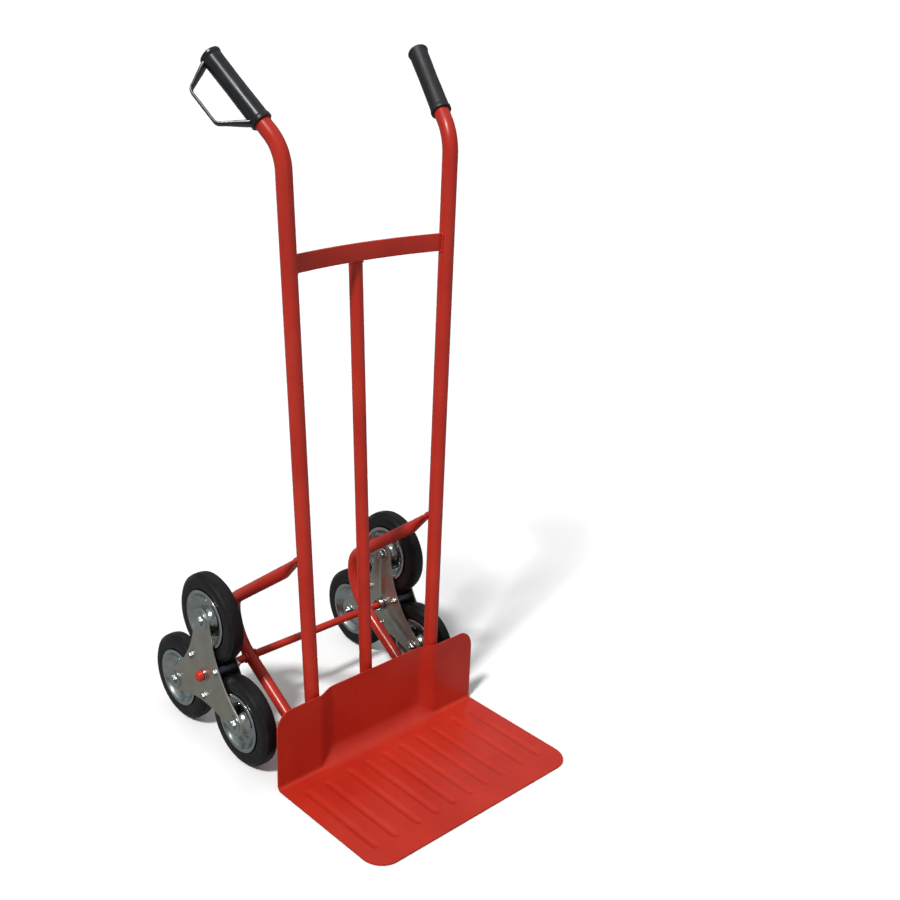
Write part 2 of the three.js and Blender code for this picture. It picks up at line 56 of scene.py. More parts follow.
SIDES = (("left", -1), ("right", 1))
RECORD = frame["record"]
BODY_OF = {n: body for body, nodes in RECORD["behaviour"]["bodies"].items() for n in nodes}
PIVOT = {joint["name"]: Vector(joint["pos_m"]) for joint in frame["joints"]}

# ------------------------------------------------------------------ materials


class Look:
    """A node material with short calls for the nodes used here."""

    def __init__(self, name):
        self.material = bpy.data.materials.new(name)
        self.material.use_nodes = True
        self.tree = self.material.node_tree
        self.shader = self.tree.nodes["Principled BSDF"]
        self.space = self.tree.nodes.new("ShaderNodeTexCoord").outputs["Object"]

    def node(self, kind, inputs, **settings):
        made = self.tree.nodes.new(kind)
        for key, value in settings.items():
            setattr(made, key, value)
        for key, value in inputs.items():
            self.feed(made.inputs[key], value)
        return made

    def feed(self, socket, value):
        if isinstance(value, bpy.types.NodeSocket):
            self.tree.links.new(value, socket)
        else:
            socket.default_value = value

    def set(self, **inputs):
        for key, value in inputs.items():
            self.feed(self.shader.inputs[key.replace("_", " ")], value)

    def stretched(self, scale):
        return self.node("ShaderNodeMapping", {"Vector": self.space, "Scale": scale}).outputs[0]

    def noise(self, scale, detail=3.0, roughness=0.5, space=None):
        made = self.node("ShaderNodeTexNoise", {
            "Vector": space or self.space, "Scale": scale,
            "Detail": detail, "Roughness": roughness})
        return made.outputs["Fac"]

    def cells(self, scale):
        made = self.node("ShaderNodeTexVoronoi", {"Vector": self.space, "Scale": scale})
        return made.outputs["Color"]

    def level(self, value, low, high, out_low=0.0, out_high=1.0):
        return self.node("ShaderNodeMapRange", {
            "Value": value, "From Min": low, "From Max": high,
            "To Min": out_low, "To Max": out_high}).outputs[0]

    def math(self, operation, a, b):
        return self.node("ShaderNodeMath", {0: a, 1: b}, operation=operation).outputs[0]

    def mix(self, share, a, b):
        made = self.node("ShaderNodeMix", {}, data_type="RGBA")
        for index, value in ((0, share), (6, a), (7, b)):
            self.feed(made.inputs[index], value)
        return made.outputs[2]

    def bump(self, height, strength, distance, normal=None):
        inputs = {"Height": height, "Strength": strength, "Distance": distance}
        if normal is not None:
            inputs["Normal"] = normal
        return self.node("ShaderNodeBump", inputs).outputs[0]

    def edges(self, radius, low=0.02, high=0.25):
        """1 along convex and concave edges, 0 on open surface."""
        softened = self.node("ShaderNodeBevel", {"Radius": radius}, samples=4).outputs[0]
        flat = self.node("ShaderNodeNewGeometry", {}).outputs["Normal"]
        dot = self.node("ShaderNodeVectorMath", {0: softened, 1: flat},
                        operation="DOT_PRODUCT").outputs["Value"]
        return self.level(self.math("SUBTRACT", 1.0, dot), low, high)


def colour(red, green, blue):
    return (red, green, blue, 1.0)


def paint_look():
    """Powder red: slight orange peel, faded patches, thin cut edges darkened by painted shade and
    rubbed in places.
    """
    look = Look("red_paint_look")
    base = look.mix(look.level(look.noise(9, 4), 0.35, 0.65),
                    colour(0.46, 0.020, 0.009), colour(0.53, 0.029, 0.013))
    faded = look.level(look.noise(3.2, 5, 0.6), 0.52, 0.75, 0.0, 0.30)
    base = look.mix(faded, base, colour(0.54, 0.050, 0.032))
    specks = look.level(look.noise(260, 2), 0.70, 0.80, 0.0, 0.12)
    base = look.mix(specks, base, colour(0.30, 0.02, 0.012))
    # Painted shade: the edge mask darkens every edge almost to black, as if the edges lay in shadow.
    # The rubbed, lighter paint below is real wear.
    rim = look.edges(1.2 * MM)
    base = look.mix(look.math("MULTIPLY", rim, 0.6), base, colour(0.15, 0.008, 0.005))
    worn = look.math("MULTIPLY", rim, look.level(look.noise(70, 4, 0.7), 0.5, 0.68, 0.0, 0.22))
    base = look.mix(worn, base, colour(0.58, 0.13, 0.09))
    scratches = look.noise(90, 3, 0.6, look.stretched((1.0, 0.06, 1.0)))
    rough = look.level(look.noise(22, 4), 0.3, 0.7, 0.24, 0.42)
    rough = look.math("ADD", rough, look.level(scratches, 0.6, 0.75, 0.0, 0.05))
    peel = look.bump(look.noise(520, 2), 0.10, 0.4 * MM)
    look.set(Base_Color=base, Roughness=rough, Specular_IOR_Level=0.38, Coat_Weight=0.12,
             Coat_Roughness=0.18,
             Normal=look.bump(look.noise(30, 3), 0.10, 1.2 * MM, peel))
    return look.material


def zinc_look(name, tint, rough_low, rough_high, depth):
    """Zinc plate: patches dulled by depth or tinted blue-green, faint crystals and streaks."""
    look = Look(name)
    dull = tuple(depth * c for c in tint)
    spangle = look.level(look.cells(150), 0.0, 1.0)
    blotch = look.level(look.noise(34, 5, 0.62), 0.35, 0.7)
    base = look.mix(look.math("MULTIPLY", blotch, 0.7), colour(*tint), colour(*dull))
    base = look.mix(look.math("MULTIPLY", spangle, 0.16), base, colour(*dull))
    passivated = look.level(look.noise(24, 3, 0.5), 0.5, 0.66, 0.0, 0.35)
    base = look.mix(passivated, base, colour(0.9 * tint[0], 1.05 * tint[1], 1.12 * tint[2]))
    grime = look.math("MULTIPLY", look.edges(1.6 * MM, 0.04, 0.4), 0.45)
    base = look.mix(grime, base, colour(*(0.35 * c for c in tint)))
    streaks = look.noise(60, 3, 0.5, look.stretched((1.0, 1.0, 0.12)))
    rough = look.level(look.math("ADD", streaks, look.noise(25, 4)), 0.7, 1.3,
                       rough_low, rough_high)
    look.set(Base_Color=base, Metallic=1.0, Roughness=rough,
             Normal=look.bump(look.math("ADD", streaks, look.noise(300, 2)), 0.08, 0.3 * MM))
    return look.material


def rubber_look():
    """Black tyre rubber: dusty patches and scuffed edges."""
    look = Look("tyre_look")
    dusty = look.level(look.noise(40, 5, 0.65), 0.45, 0.75, 0.0, 0.35)
    base = look.mix(dusty, colour(0.006, 0.0055, 0.006), colour(0.018, 0.017, 0.016))
    scuffed = look.math("MULTIPLY", look.edges(1.5 * MM, 0.02, 0.3),
                        look.level(look.noise(120, 3), 0.4, 0.65, 0.0, 0.5))
    base = look.mix(scuffed, base, colour(0.07, 0.067, 0.065))
    rough = look.level(look.noise(55, 4), 0.3, 0.7, 0.30, 0.50)
    look.set(Base_Color=base, Roughness=rough, Specular_IOR_Level=0.36,
             Normal=look.bump(look.noise(700, 3), 0.12, 0.3 * MM))
    return look.material


def plastic_look(name, tint, rough_low, rough_high, grain):
    """Moulded plastic with a fine grain and lighter, rubbed edges."""
    look = Look(name)
    base = look.mix(look.level(look.noise(60, 4), 0.4, 0.7),
                    colour(*tint), colour(*(1.7 * c for c in tint)))
    rubbed = look.math("MULTIPLY", look.edges(1.2 * MM), 0.25)
    base = look.mix(rubbed, base, colour(*(min(1.0, 4.0 * c) for c in tint)))
    rough = look.level(look.noise(45, 4), 0.3, 0.7, rough_low, rough_high)
    look.set(Base_Color=base, Roughness=rough,
             Normal=look.bump(look.noise(1100, 2), grain, 0.25 * MM))
    return look.material


PAINT = paint_look()
PLATE_ZINC = zinc_look("cluster_plate_look", (0.60, 0.59, 0.51), 0.30, 0.48, 0.78)
BRIGHT_ZINC = zinc_look("bright_zinc_look", (0.66, 0.71, 0.70), 0.11, 0.30, 0.45)
RUBBER = rubber_look()
GLOSS_BLACK = plastic_look("gloss_black_look", (0.010, 0.011, 0.014), 0.22, 0.34, 0.03)
MATTE_BLACK = plastic_look("matte_black_look", (0.009, 0.009, 0.011), 0.40, 0.56, 0.25)
# Black plastic whose tint carries extra blue as painted bluish sheen; the dark tone itself is the
# plastic's own.
SPACER_BLACK = plastic_look("spacer_black_look", (0.020, 0.021, 0.034), 0.24, 0.38, 0.08)
NYLON = plastic_look("nylon_look", (0.55, 0.53, 0.47), 0.35, 0.5, 0.1)

# ------------------------------------------------------------------ mesh helpers


def skin(rows, along=False):
    """Faces between neighbouring rings of points. With along, the last ring joins the first."""
    width = len(rows[0])
    verts = [point for row in rows for point in row]
    faces = []
    for i in range(len(rows) if along else len(rows) - 1):
        here = i * width
        there = (i + 1) % len(rows) * width
        for j in range(width):
            k = (j + 1) % width
            faces.append((here + j, here + k, there + k, there + j))
    return verts, faces


def lid(row, centre):
    """A fan that closes a row of points."""
    count = len(row)
    return list(row) + [centre], [(j, (j + 1) % count, count) for j in range(count)]


def together(*parts):
    """Several shapes as one shape of vertices and faces."""
    verts, faces = [], []
    for part_verts, part_faces in parts:
        start = len(verts)
        verts.extend(part_verts)
        faces.extend(tuple(i + start for i in face) for face in part_faces)
    return verts, faces


def moved(shape, matrix):
    verts, faces = shape
    return [matrix @ Vector(point) for point in verts], faces


def piece(node, shape, material, sharp=38):
    """A mesh that stands for a CAD node and rides on its body.

    An edge stays hard where its faces meet at more than the sharp angle, in degrees.
    """
    verts, faces = shape
    mesh = bpy.data.meshes.new(node + "_look")
    work = bmesh.new()
    made = [work.verts.new(point) for point in verts]
    for face in faces:
        work.faces.new([made[i] for i in face])
    bmesh.ops.remove_doubles(work, verts=work.verts, dist=2e-6)
    bmesh.ops.dissolve_degenerate(work, edges=work.edges, dist=1e-6)
    bmesh.ops.recalc_face_normals(work, faces=work.faces)
    work.to_mesh(mesh)
    work.free()
    mesh.polygons.foreach_set("use_smooth", [True] * len(mesh.polygons))
    mesh.set_sharp_from_angle(angle=math.radians(sharp))
    mesh.materials.append(material)
    made_object = bpy.data.objects.new(node + "_look", mesh)
    bpy.context.scene.collection.objects.link(made_object)
    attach(made_object, BODY_OF[node])
    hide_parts(node)
    return made_object


def rounded(corners, radii, steps=8):
    """The corner points with each inner corner replaced by an arc. Works in 2D and 3D."""
    points = [Vector(corners[0])]
    for before, corner, after, radius in zip(corners, corners[1:], corners[2:], radii):
        corner = Vector(corner)
        back = (Vector(before) - corner).normalized()
        ahead = (Vector(after) - corner).normalized()
        half = back.angle(ahead) / 2
        if radius <= 0 or abs(half - math.pi / 2) < 1e-4:
            points.append(corner)
            continue
        cut = radius / math.tan(half)
        centre = corner + (back + ahead).normalized() * (radius / math.sin(half))
        start = corner + back * cut - centre
        end = corner + ahead * cut - centre
        turn = math.pi - 2 * half
        for i in range(steps + 1):
            share = i / steps
            arc = start * math.sin((1 - share) * turn) + end * math.sin(share * turn)
            points.append(centre + arc / math.sin(turn))
    points.append(Vector(corners[-1]))
    return points


def turned(profile, segments):
    """A ring of points about X for each (along X, radius) point of the profile."""
    angles = [2 * math.pi * j / segments for j in range(segments)]
    return [[Vector((along, radius * math.cos(a), radius * math.sin(a))) for a in angles]
            for along, radius in profile]


def lathe(profile, segments=72, fillet=0.0):
    """A closed outline of (along X, radius) points turned about X, with rounded corners."""
    if fillet:
        profile = rounded(list(profile) + [profile[0]], [fillet] * (len(profile) - 1), 4)[:-1]
    return skin(turned(profile, segments), along=True)


def hollow(start, end, inner, outer, segments=48, fillet=0.4 * MM):
    """A sleeve along X from start to end."""
    return lathe([(start, (inner + outer) / 2), (start, outer), (end, outer),
                  (end, inner), (start, inner)], segments, fillet)


def sweep(path, section, scale=None, close_ends=True):
    """A section of (sideways, up) points carried along a path without twist.

    scale gives the section's width and height at each share of the path.
    """
    tangents = []
    for i in range(len(path)):
        before, after = path[max(i - 1, 0)], path[min(i + 1, len(path) - 1)]
        tangents.append((after - before).normalized())
    side = tangents[0].orthogonal().normalized()
    if abs(tangents[0].x) < 0.9:
        side = (Vector((1, 0, 0)) - tangents[0] * tangents[0].x).normalized()
    rows = []
    for i, (point, tangent) in enumerate(zip(path, tangents)):
        if i:
            side = tangents[i - 1].rotation_difference(tangent) @ side
        side = (side - tangent * side.dot(tangent)).normalized()
        up = tangent.cross(side)
        wide, tall = scale(i / (len(path) - 1)) if scale else (1, 1)
        rows.append([point + side * (a * wide) + up * (b * tall) for a, b in section])
    parts = [skin(rows)]
    if close_ends:
        parts += [lid(rows[0], path[0]), lid(rows[-1], path[-1])]
    return rows, together(*parts)


def circle(radius, segments=40):
    """Points round the origin, for a sweep's section."""
    return [(radius * math.cos(2 * math.pi * j / segments),
             radius * math.sin(2 * math.pi * j / segments)) for j in range(segments)]


def tube(path, radius, wall, scale=None):
    """An open-ended round tube along a path."""
    outer, outside = sweep(path, circle(radius), scale, False)
    inner, inside = sweep(path, circle(radius - wall), scale, False)
    rims = [skin([outer[0], inner[0]]), skin([outer[-1], inner[-1]])]
    return together(outside, inside, *rims)


def spread(points, spacing):
    """The path with its long straight runs cut into shorter steps."""
    filled = [points[0]]
    for before, after in zip(points, points[1:]):
        count = max(1, round((after - before).length / spacing))
        filled.extend(before.lerp(after, i / count) for i in range(1, count + 1))
    return filled


def ease(share):
    """Smooth step from 0 to 1."""
    share = min(max(share, 0.0), 1.0)
    return share * share * (3 - 2 * share)


def turn_to(direction, at):
    """Puts a shape drawn along +X at a point, along a direction."""
    turn = Vector((1, 0, 0)).rotation_difference(direction).to_matrix().to_4x4()
    return Matrix.Translation(at) @ turn


# ------------------------------------------------------------------ frame tubes

UPRIGHT_R = 12.5 * MM
WALL = 1.5 * MM
WELD_R = 1.5 * MM
# sideways and backward run of an upright for each metre of height
SPLAY = 0.031
LEAN = 0.047
BEND_Z = 1019 * MM
BEND_R = 75 * MM
# sideways, backward and upward run of a handle from the corner of its bend to its end
HANDLE_RUN = (35.9 * MM, 119.6 * MM, 116.6 * MM)
# clearance under an upright's foot and past its handle's end
CLOSE = 0.3 * MM
BAR_HALF_THICK = 2.5 * MM


def upright_at(side, z):
    """The middle of an upright at this height, below its bend."""
    low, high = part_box("upright_" + ("left" if side < 0 else "right"))
    inner_x = min(abs(low.x), abs(high.x))
    foot_x = inner_x + UPRIGHT_R
    foot_y = low.y + UPRIGHT_R
    rise = z - low.z
    return Vector((side * (foot_x + SPLAY * rise), foot_y + LEAN * rise, z))


def handle_direction(side):
    """Unit vector from the bend of an upright to the end of its handle."""
    run = Vector(HANDLE_RUN)
    return Vector((side * run.x, run.y, run.z)).normalized()


def handle_end(side):
    return upright_at(side, BEND_Z) + handle_direction(side) * Vector(HANDLE_RUN).length


def bead(path, radius):
    """A weld bead: a round cord with overlapping ripples."""
    path = spread(path, 0.7 * MM)
    count = len(path)

    def ripple(share):
        size = 1 + 0.16 * math.sin(share * count * 0.9) + 0.05 * math.sin(share * count * 0.23)
        return size, size

    return sweep(path, circle(radius, 12), ripple)[1]


def weld_ring(centre, direction, radius, thickness):
    """A weld bead all round a tube."""
    ring = [Vector((0, radius * math.cos(a), radius * math.sin(a)))
            for a in (2 * math.pi * i / 40 for i in range(41))]
    place = turn_to(direction, centre)
    return bead([place @ point for point in ring], thickness)


def build_uprights():
    """Each upright with its bent-back handle, open at both ends."""
    for name, side in SIDES:
        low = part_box("upright_" + name)[0]
        corners = [upright_at(side, low.z + CLOSE), upright_at(side, BEND_Z), handle_end(side)]
        path = spread(rounded(corners, [BEND_R], 24), 60 * MM)
        piece("upright_" + name, tube(path, UPRIGHT_R, WALL), PAINT)


def bar_weld(side, end_y, middle_z, tall):
    """Weld bead round an end of the crossbar, against the upright's wall."""
    x = side * (abs(upright_at(side, middle_z).x) - UPRIGHT_R - 0.4 * MM)
    front, back = end_y - 3.2 * MM, end_y + 3.6 * MM
    loop = [Vector((x, y, middle_z + z)) for y, z in (
        (front, -tall), (front, tall), (back, tall), (back, -tall), (front, -tall))]
    return bead(rounded(loop, [2.5 * MM] * 3, 4), WELD_R)


def build_crossbar():
    """Flat bar bowed to the rear, with a weld bead round each end."""
    low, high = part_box("crossbar")
    middle_z = (low.z + high.z) / 2
    end = upright_at(1, middle_z)
    bow = high.y - BAR_HALF_THICK - end.y
    radius = (end.x ** 2 + bow ** 2) / (2 * bow)
    half = math.asin((end.x - 0.55 * UPRIGHT_R) / radius)
    angles = [half * (i / 24 - 1) for i in range(49)]
    path = [Vector((radius * math.sin(a), end.y + bow - radius * (1 - math.cos(a)), middle_z))
            for a in angles]
    tall, thick = (high.z - low.z) / 2, BAR_HALF_THICK
    corners = [(0, -tall), (thick, -tall), (thick, tall), (-thick, tall), (-thick, -tall),
               (0, -tall)]
    outline = [tuple(p) for p in rounded(corners, [1.3 * MM] * 4, 5)][:-1]
    rows = []
    for point, angle in zip(path, angles):
        tangent = Vector((math.cos(angle), -math.sin(angle), 0))
        outward = Vector((0, 0, 1)).cross(tangent)
        rows.append([point + outward * a + Vector((0, 0, b)) for a, b in outline])
    bar = together(skin(rows), lid(rows[0], path[0]), lid(rows[-1], path[-1]))
    welds = [bar_weld(side, end.y, middle_z, tall) for side in (-1, 1)]
    piece("crossbar", together(bar, *welds), PAINT)


# shares of the centre tube's length: where its pinched head starts, how long the pinch takes
# to form, and where its weld to the crossbar lies
PINCH_START = 0.955
PINCH_SPAN = 0.04
CENTRE_WELD = 0.972


def build_centre_tube():
    """Tube behind the crossbar and the back plate, with a weld at each end."""
    low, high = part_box("centre_tube")
    radius = (high.x - low.x) / 2
    x = (low.x + high.x) / 2
    foot = Vector((x, low.y + radius, low.z + radius * 0.1))
    top = Vector((x, high.y - radius, high.z - radius * 0.1))

    def pinch(share):
        """The head is squeezed flat against the back of the bar."""
        flat = ease((share - PINCH_START) / PINCH_SPAN)
        return 1 + 0.16 * flat, 1 - 0.22 * flat

    path = [foot.lerp(top, i / 90) for i in range(91)]
    direction = (top - foot).normalized()
    under_bar = foot.lerp(top, CENTRE_WELD)
    touch = [under_bar + Vector((radius * 1.12 * math.cos(a), -radius * 0.8 * math.sin(a), 0))
             for a in (math.pi * i / 16 for i in range(17))]
    body = tube(path, radius, WALL, pinch)
    piece("centre_tube", together(body, bead(touch, 1.4 * MM),
                                  weld_ring(foot + direction * 6 * MM, direction,
                                            radius - 0.4 * MM, 1.2 * MM)), PAINT)


LOOP_R = 11 * MM
LOOP_TOP_Z = 387 * MM
LOOP_FOOT_BEHIND = 6 * MM
# slopes of a side loop: its strut falls to the rear, and its stay rises to the rear
STRUT_SLOPE = 0.75
STAY_SLOPE = 0.65
UPPER_BEND_R = 36 * MM
LOWER_BEND_R = 95 * MM
# shares of a side loop's length between which its crimped end opens to a full tube
CRIMP_START = 0.035
CRIMP_END = 0.115


def crimp(share):
    """Width and height of a side loop: its upper end is pressed flat, wider and much lower."""
    flat = 1 - min(max((share - CRIMP_START) / (CRIMP_END - CRIMP_START), 0.0), 1.0)
    return 1 + 0.08 * flat, 1 - 0.56 * flat


def strut_weld(centre, over):
    """Bead round the flattened end of a side loop."""
    wide, tall = (LOOP_R * size for size in crimp(0.0))
    ring = [centre + Vector((wide * math.cos(a), 0, 0)) + over * (tall * math.sin(a))
            for a in (2 * math.pi * i / 40 for i in range(41))]
    return bead(ring, WELD_R)


def build_loops():
    """Bent tubes from each upright round the axle and back to its foot, bossed at the axle."""
    axle = PIVOT["cluster_right_spin"]
    for name, side in SIDES:
        rear_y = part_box("axle_loop_" + name)[1].y - LOOP_R
        strut_y = upright_at(side, LOOP_TOP_Z).y
        foot_y = upright_at(side, 0).y + LOOP_FOOT_BEHIND
        corners_yz = [
            (strut_y, LOOP_TOP_Z),
            (rear_y, LOOP_TOP_Z - STRUT_SLOPE * (rear_y - strut_y)),
            (rear_y, axle.z + STAY_SLOPE * (rear_y - axle.y)),
            (foot_y, axle.z - STAY_SLOPE * (axle.y - foot_y)),
        ]
        corners = [Vector((upright_at(side, z).x, y, z)) for y, z in corners_yz]
        path = spread(rounded(corners, [UPPER_BEND_R, LOWER_BEND_R], 20), 4 * MM)

        along = (path[1] - path[0]).normalized()
        over = Vector((1, 0, 0)).cross(along).normalized()
        path = [point + over * (LOOP_R * (1 - crimp(i / (len(path) - 1))[1]))
                for i, point in enumerate(path)]
        body = tube(path, LOOP_R, WALL, crimp)
        ring = strut_weld(path[0] + along * (UPRIGHT_R + WELD_R), over)
        boss = lathe([(-2.2 * MM, 7.4 * MM), (-2.2 * MM, 9.6 * MM), (2.2 * MM, 9.6 * MM),
                      (2.2 * MM, 7.4 * MM)], 48, 0.8 * MM)
        crossing = Vector((upright_at(side, axle.z).x, axle.y, axle.z))
        spots = [crossing + Vector((s * (LOOP_R - 0.4 * MM), 0, 0)) for s in (-1, 1)]
        bosses = [moved(boss, Matrix.Translation(spot)) for spot in spots]
        piece("axle_loop_" + name, together(body, ring, *bosses), PAINT)


# ------------------------------------------------------------------ grips and guard

GRIP_LENGTH = 127 * MM
GRIP_END = 3.2 * MM
GRIP_R = 15.1 * MM
GRIP_FLARE_R = 16.4 * MM
GRIP_BORE_R = 12.75 * MM
# the guard: how far it stands out, where its ends are rooted and where it bends along the grip
GUARD_REACH = 52 * MM
GUARD_ROOT = 13.6 * MM
GUARD_ROOT_IN = 9 * MM
GUARD_BENDS = (27 * MM, 88 * MM)
GUARD_HALF_THICK = 1.9 * MM
GUARD_HALF_WIDE = 5.8 * MM


def grip_shape():
    """Closed end at the origin, mouth along +X."""
    length, body, flare, bore = GRIP_LENGTH, GRIP_R, GRIP_FLARE_R, GRIP_BORE_R
    outline = [(0, 0), (0, flare - 4 * MM), (2.6 * MM, flare), (6 * MM, flare),
               (10 * MM, body), (length * 0.45, body - 0.5 * MM),
               (length - 9 * MM, body), (length - 5 * MM, flare), (length - 0.4 * MM, flare),
               (length, flare - 1.2 * MM), (length, bore), (length * 0.8, bore),
               (4 * MM, bore), (4 * MM, 0)]
    radii = [2.2 * MM, 1.6 * MM, 1.6 * MM, 1.6 * MM, 60 * MM, 1.6 * MM, 1.4 * MM, 0.5 * MM,
             0.5 * MM, 0.3 * MM, 0, 0.5 * MM]
    return skin(turned(rounded(outline, radii, 5), 72))


def grip_place(side):
    """Where a shape drawn from the grip's closed end along +X belongs."""
    direction = handle_direction(side)
    return turn_to(-direction, handle_end(side) + direction * (GRIP_END + CLOSE))


def guard_direction():
    """Unit vector from the left grip towards its guard: outward and a little down."""
    axis = handle_direction(-1)
    sideways = (Vector((-1, 0, 0)) + axis * axis.x).normalized()
    under = axis.cross(sideways)
    if under.z > 0:
        under.negate()
    turn = math.radians(40)
    return sideways * math.cos(turn) + under * math.sin(turn)


def guard_strap():
    """Flat strap bent into a D beside the left grip, broader where it joins the grip."""
    axis, reach = handle_direction(-1), guard_direction()
    tip = handle_end(-1) + axis * (GRIP_END + CLOSE)

    def at(down, away):
        return tip - axis * down + reach * away

    corners = [at(GUARD_ROOT_IN, GUARD_ROOT), at(GUARD_BENDS[0], GUARD_REACH),
               at(GUARD_BENDS[1], GUARD_REACH), at(GRIP_LENGTH - GUARD_ROOT_IN, GUARD_ROOT)]
    path = spread(rounded(corners, [9 * MM, 10 * MM], 12), 4 * MM)
    flat, wide = GUARD_HALF_THICK, GUARD_HALF_WIDE
    box = [(0, -wide), (flat, -wide), (flat, wide), (-flat, wide), (-flat, -wide), (0, -wide)]
    section = [tuple(p) for p in rounded(box, [1.3 * MM] * 4, 4)][:-1]
    across = axis.cross(reach).normalized()
    rows = []
    for i, point in enumerate(path):
        tangent = (path[min(i + 1, len(path) - 1)] - path[max(i - 1, 0)]).normalized()
        outward = across.cross(tangent)
        end = min(i, len(path) - 1 - i) / (0.18 * len(path))
        spread_out = 1 + 0.5 * (1 - ease(end))
        rows.append([point + outward * (a * spread_out) + across * (b * spread_out)
                     for a, b in section])
    return together(skin(rows), lid(rows[0], path[0]), lid(rows[-1], path[-1]))


def build_grips():
    """The left grip carries the hand guard. The right one is plain."""
    left = together(moved(grip_shape(), grip_place(-1)), guard_strap())
    piece("grip_left", left, GLOSS_BLACK)
    piece("grip_right", moved(grip_shape(), grip_place(1)), MATTE_BLACK)


# ------------------------------------------------------------------ toe plate

SHEET = 2.5 * MM
# the middle panel lies behind the wings, and the step between them spans these half widths
RECESS = 12 * MM
RECESS_EDGE = 98 * MM
WING_EDGE = 136 * MM
# backward run of the back plate for each metre of height
PLATE_LEAN = 0.02
WING_HEEL_R = 7 * MM
PANEL_HEEL_R = 32 * MM
BACK_CORNER_R = 28 * MM
DECK_CORNER_R = 38 * MM
# shares of the plate's half width at which its mesh has a column of points
PLATE_COLUMNS = [i / 150 for i in range(-150, 151)]
HEEL_STEPS = 12
DECK_STEPS = 96
# distance of each groove from the plate's middle, on both sides
GROOVES = [x * MM for x in (19.75, 59.25, 98.75, 149, 190)]
GROOVE_HALF = 9.5 * MM
GROOVE_SIDE = 8.5 * MM
GROOVE_DEPTH = 1.9 * MM
GROOVE_BACK = -28 * MM
GROOVE_FRONT = -210 * MM


def corner_width(half, radius, inset):
    """Half width of a plate this far in from an edge with rounded corners."""
    if inset >= radius:
        return half
    return half - radius + math.sqrt(max(radius ** 2 - (radius - inset) ** 2, 0))


def groove_depth(x, y):
    """Depth below the deck of the pressed grooves, each with soft sides and round ends."""
    across = min(abs(abs(x) - middle) for middle in GROOVES)
    past_end = max(y - (GROOVE_BACK - GROOVE_HALF), GROOVE_FRONT + GROOVE_HALF - y, 0.0)
    from_edge = GROOVE_HALF - math.hypot(across, past_end)
    return GROOVE_DEPTH * ease(from_edge / GROOVE_SIDE)


def thickened(rows, sheet):
    """A sheet below and behind a grid of points, flat where it would reach under the floor."""
    last, end = len(rows) - 1, len(rows[0]) - 1
    under = []
    for i, row in enumerate(rows):
        line = []
        for j, point in enumerate(row):
            down = rows[min(i + 1, last)][j] - rows[max(i - 1, 0)][j]
            across = row[min(j + 1, end)] - row[max(j - 1, 0)]
            shifted = point - down.cross(across).normalized() * sheet
            shifted.x = min(max(shifted.x, row[0].x), row[end].x)
            shifted.z = min(max(shifted.z, 0.0), point.z)
            line.append(shifted)
        under.append(line)
    loops = [front + back[::-1] for front, back in zip(rows, under)]
    verts, faces = skin(loops)
    width = len(loops[0])
    for start in (0, last * width):
        faces += [(start + j, start + j + 1, start + width - 2 - j, start + width - 1 - j)
                  for j in range(end)]
    return verts, faces


def setback(x):
    """How far the back plate is set back here: 0 on the wings, 1 on the middle panel."""
    return ease((WING_EDGE - abs(x)) / (WING_EDGE - RECESS_EDGE))


def heel_radius(deep):
    return WING_HEEL_R + (PANEL_HEEL_R - WING_HEEL_R) * deep


def plate_front(deep, z):
    """How far back the front face of the back plate is at this height."""
    return RECESS * deep + PLATE_LEAN * z


def back_rows(half, top):
    """The back plate from its rounded top corners down to the heel bend."""
    insets = [BACK_CORNER_R * (1 - math.cos(i * math.pi / 20)) for i in range(10)]
    insets += [BACK_CORNER_R + i * (0.68 * (top - BACK_CORNER_R)) / 16 for i in range(17)]
    rows = []
    for inset in insets:
        row = []
        for share in PLATE_COLUMNS:
            x = share * corner_width(half, BACK_CORNER_R, inset)
            deep = setback(x)
            foot = SHEET + heel_radius(deep)
            z = top + (foot - top) * (inset / insets[-1])
            row.append(Vector((x, plate_front(deep, z), z)))
        rows.append(row)
    return rows


def heel_rows(half):
    """The bend between the back plate and the deck, softer under the middle panel."""
    rows = []
    for step in range(1, HEEL_STEPS + 1):
        angle = math.pi / 2 * step / HEEL_STEPS
        row = []
        for share in PLATE_COLUMNS:
            x = share * half
            deep = setback(x)
            heel = heel_radius(deep)
            y = plate_front(deep, SHEET + heel) - heel * (1 - math.cos(angle))
            row.append(Vector((x, y, SHEET + heel * (1 - math.sin(angle)))))
        rows.append(row)
    return rows


def deck_rows(half, depth):
    """The grooved deck from the heel bend to its rounded front corners."""
    tail = [1 - (DECK_CORNER_R / depth) * (1 - math.sin(i * math.pi / 20)) for i in range(1, 11)]
    even = [i / DECK_STEPS for i in range(1, DECK_STEPS + 1)]
    rows = []
    for run in [share for share in even if share < tail[0]] + tail:
        row = []
        for share in PLATE_COLUMNS:
            x = share * corner_width(half, DECK_CORNER_R, (1 - run) * depth)
            deep = setback(x)
            heel = heel_radius(deep)
            start = plate_front(deep, SHEET + heel) - heel
            y = start + run * (-depth - start)
            row.append(Vector((x, y, SHEET - groove_depth(x, y))))
        rows.append(row)
    return rows


def build_toe_plate():
    """One sheet: back plate, heel bend and deck, with softened cut edges."""
    low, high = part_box("toe_plate")
    rows = back_rows(high.x, high.z) + heel_rows(high.x) + deck_rows(high.x, -low.y)
    plate = piece("toe_plate", thickened(rows, SHEET), PAINT, 60)
    soft = plate.modifiers.new("edge", "BEVEL")
    soft.width = 0.7 * MM
    soft.segments = 3
    soft.limit_method = "ANGLE"
    soft.angle_limit = math.radians(55)


# ------------------------------------------------------------------ clusters

ARM = 106 * MM
TIP_R = 22 * MM
VALLEY_CENTRE = 243 * MM
VALLEY_R = 189 * MM
RIDGE_HALF = 11 * MM
RIDGE_RISE = 1.6 * MM
PAD_R = 15 * MM
